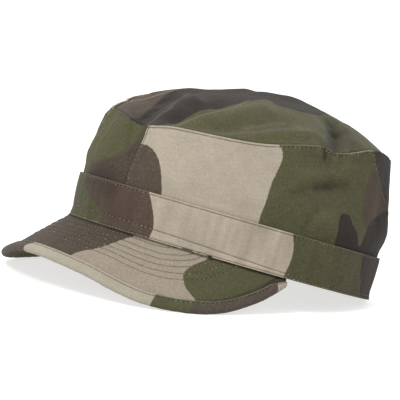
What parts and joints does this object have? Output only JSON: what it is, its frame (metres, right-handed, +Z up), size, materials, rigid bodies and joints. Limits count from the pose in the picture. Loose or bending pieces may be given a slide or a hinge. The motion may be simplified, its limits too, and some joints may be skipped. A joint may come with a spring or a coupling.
{
  "type": "patrol cap",
  "caption": "Soft cotton field cap with an oval top, side panels, a deep band and a curved, taped peak.",
  "frame": {"origin": "centre of the cap's box in plan, at the height of the surface that it rests on", "axes": "-Y points out over the peak, +X to the wearer's left, +Z up; the cap lies tipped back 11 degrees"},
  "size_m": [0.1948, 0.2506, 0.1256],
  "materials": {
    "crown_cloth": "matt printed cotton",
    "band_cloth": "matt printed cotton",
    "peak_cloth": "matt printed cotton, row stitched",
    "binding_tape": "matt cotton bias tape"
  },
  "bodies": {
    "root": {"top_panel": "crown_cloth", "front_panel": "crown_cloth", "side_panel_left": "crown_cloth", "side_panel_right": "crown_cloth", "back_panel": "crown_cloth", "band": "band_cloth", "peak": "peak_cloth", "peak_binding": "binding_tape"}
  },
  "joints": []
}
